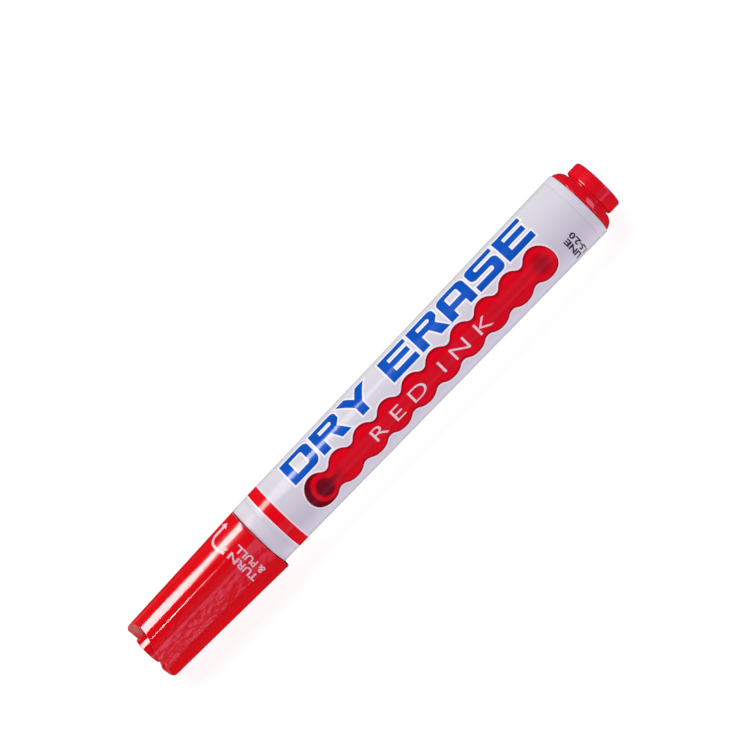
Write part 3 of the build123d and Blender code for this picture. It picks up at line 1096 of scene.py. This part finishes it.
def shell_profile(angle):
    """The closed outline of the shell's wall in the plane through the axis at this angle."""
    across, up = math.sin(angle), math.cos(angle)
    guard = 0.3 * mm

    def end_at(radius):
        return cap_end + notch_depth(radius * across, radius * up)

    edge = lobed_radius(angle, flat_at_end, lobe_at_end)
    cut = min(1, (end_at(edge) - cap_end) / (1.0 * mm))
    rounding = (0.95 - 0.70 * cut) * mm
    chamfer = 0.12 * mm
    outline = [(end_at(nub_hole) + chamfer, nub_hole), (end_at(nub_hole), nub_hole + chamfer)]
    outline += [(end_at(r), r) for r in spaced(nub_hole + guard, edge - rounding, 26)]
    rim = end_at(edge - rounding)
    for k in range(9):
        a = math.pi / 2 * k / 8
        x = rim + rounding * (1 - math.cos(a))
        outline.append((x, shell_outside(angle, x) - rounding * (1 - math.sin(a))))
    lip = 0.08 * mm
    lead_end = collar_start + collar_lead
    stations = spaced(rim + rounding + guard, collar_start - guard, 26)
    stations += spaced(collar_start - guard, lead_end + guard, 26)
    stations += spaced(lead_end + guard, cap_mouth - lip, 8)
    outline += [(x, shell_outside(angle, x)) for x in stations]
    for k in range(5):
        a = math.pi / 2 * k / 4
        x = cap_mouth - lip * (1 - math.sin(a))
        outline.append((x, shell_outside(angle, x) - lip * (1 - math.cos(a))))
    inner_mouth = lobed_radius(angle, flat_at_mouth - cap_wall, lobe_at_mouth - cap_wall)
    outline += [(cap_mouth, inner_mouth + 0.15 * mm), (cap_mouth - 0.15 * mm, inner_mouth)]
    for x in spaced(cap_mouth - 1.0 * mm, hollow_end, 10) + [hollow_end]:
        outline.append((x, lobed_radius(angle, flat_at(x) - cap_wall, lobe_at(x) - cap_wall)))
    pocket = cup_outside(hollow_end) + turning_gap
    outline += [(hollow_end, pocket - 0.02 * mm),
                (pocket_end, cup_outside(pocket_end) + turning_gap), (pocket_end, nub_hole)]
    return outline


shell_steps = 432
build = bmesh.new()
walls = []
for k in range(shell_steps):
    angle = 2 * math.pi * k / shell_steps
    walls.append([
        build.verts.new((x, r * math.sin(angle), axis_z + r * math.cos(angle)))
        for x, r in shell_profile(angle)
    ])
for k in range(shell_steps):
    here, there = walls[k], walls[(k + 1) % shell_steps]
    for i in range(len(here)):
        j = (i + 1) % len(here)
        build.faces.new((here[i], here[j], there[j], there[i]))
cap_shell = as_object("cap_lobed_shell", build, sharp=40)
flatness = cap_shell.data.attributes.new("flatness", "FLOAT", "POINT")
for vertex in cap_shell.data.vertices:
    off = abs(from_lobe(math.atan2(vertex.co.y, vertex.co.z - axis_z)))
    flatness.data[vertex.index].value = eased(off, math.radians(26), math.radians(44))
cap_red = red_plastic("cap_red")
place(cap_shell, cap_red, "cap", ["cap_shell"])

# Print on the cap: two short lines of white letters that read up round the collar, and an arrow
# that turns back on itself.


def on_cap(height):
    """A wrap of flat print round the cap, centred at this height angle over the near side."""
    def wrap(along, around, lift):
        angle = math.radians(height) + around / print_radius
        radius = shell_outside(angle - math.pi / 2, along) + lift
        return Vector((along, -radius * math.cos(angle), axis_z + radius * math.sin(angle)))
    return wrap


cap_ink = ink("cap_white_ink", (0.90, 0.60, 0.68), mottle=0.16, roughness=0.35)
cap_words_angle, arrow_angle = 42, 98
cap_row_half, cap_row_length = 0.85 * mm, 8.6 * mm
cap_step = 0.4 * mm
for name, words, middle in (
    ("cap_line_one", "TURN", -42.1 * mm),
    ("cap_line_two", "& PULL", -39.9 * mm),
):
    flat = quarter_turned(letters(words, weight=0.020))
    fitted(flat, middle - cap_row_half, middle + cap_row_half, cap_row_length)
    laid_ink(name, flat, on_cap(cap_words_angle), first_layer, cap_ink, body="cap",
             along_step=cap_step)


def bent_arrow(length, height, bend, stroke, head):
    """Flat print: a stroke that goes up, bends to the rear and ends in an arrow head."""
    lean = 0.3 * bend
    line = [Vector((0, 0, 0)), Vector((-lean, 0.5 * (height - bend), 0))]
    for k in range(13):
        a = math.pi - math.pi / 2 * k / 12
        x, y = bend * (1 + math.cos(a)) - lean, height - bend * (1 - math.sin(a))
        line.append(Vector((x, y, 0)))
    line.append(Vector((length - 1.4 * head, height, 0)))
    flat = bmesh.new()
    sides = []
    for i, point in enumerate(line):
        way = (line[min(i + 1, len(line) - 1)] - line[max(i - 1, 0)]).normalized()
        out = Vector((-way.y, way.x, 0)) * stroke / 2
        sides.append((flat.verts.new(point - out), flat.verts.new(point + out)))
    for near, far in zip(sides, sides[1:]):
        flat.faces.new((near[0], far[0], far[1], near[1]))
    root = line[-1] + Vector((0.02 * mm, 0, 0))
    points = (root + Vector((0, head, 0)), root - Vector((0, head, 0)), Vector((length, height, 0)))
    flat.faces.new([flat.verts.new(p) for p in points])
    return flat


arrow_foot = Vector((-42.75 * mm, -2.8 * mm, 0))
arrow = bent_arrow(length=5.0 * mm, height=4.3 * mm, bend=1.5 * mm, stroke=0.62 * mm,
                   head=0.85 * mm)
for v in arrow.verts:
    v.co += arrow_foot
laid_ink("cap_arrow", arrow, on_cap(arrow_angle), first_layer, cap_ink, body="cap",
         along_step=cap_step)
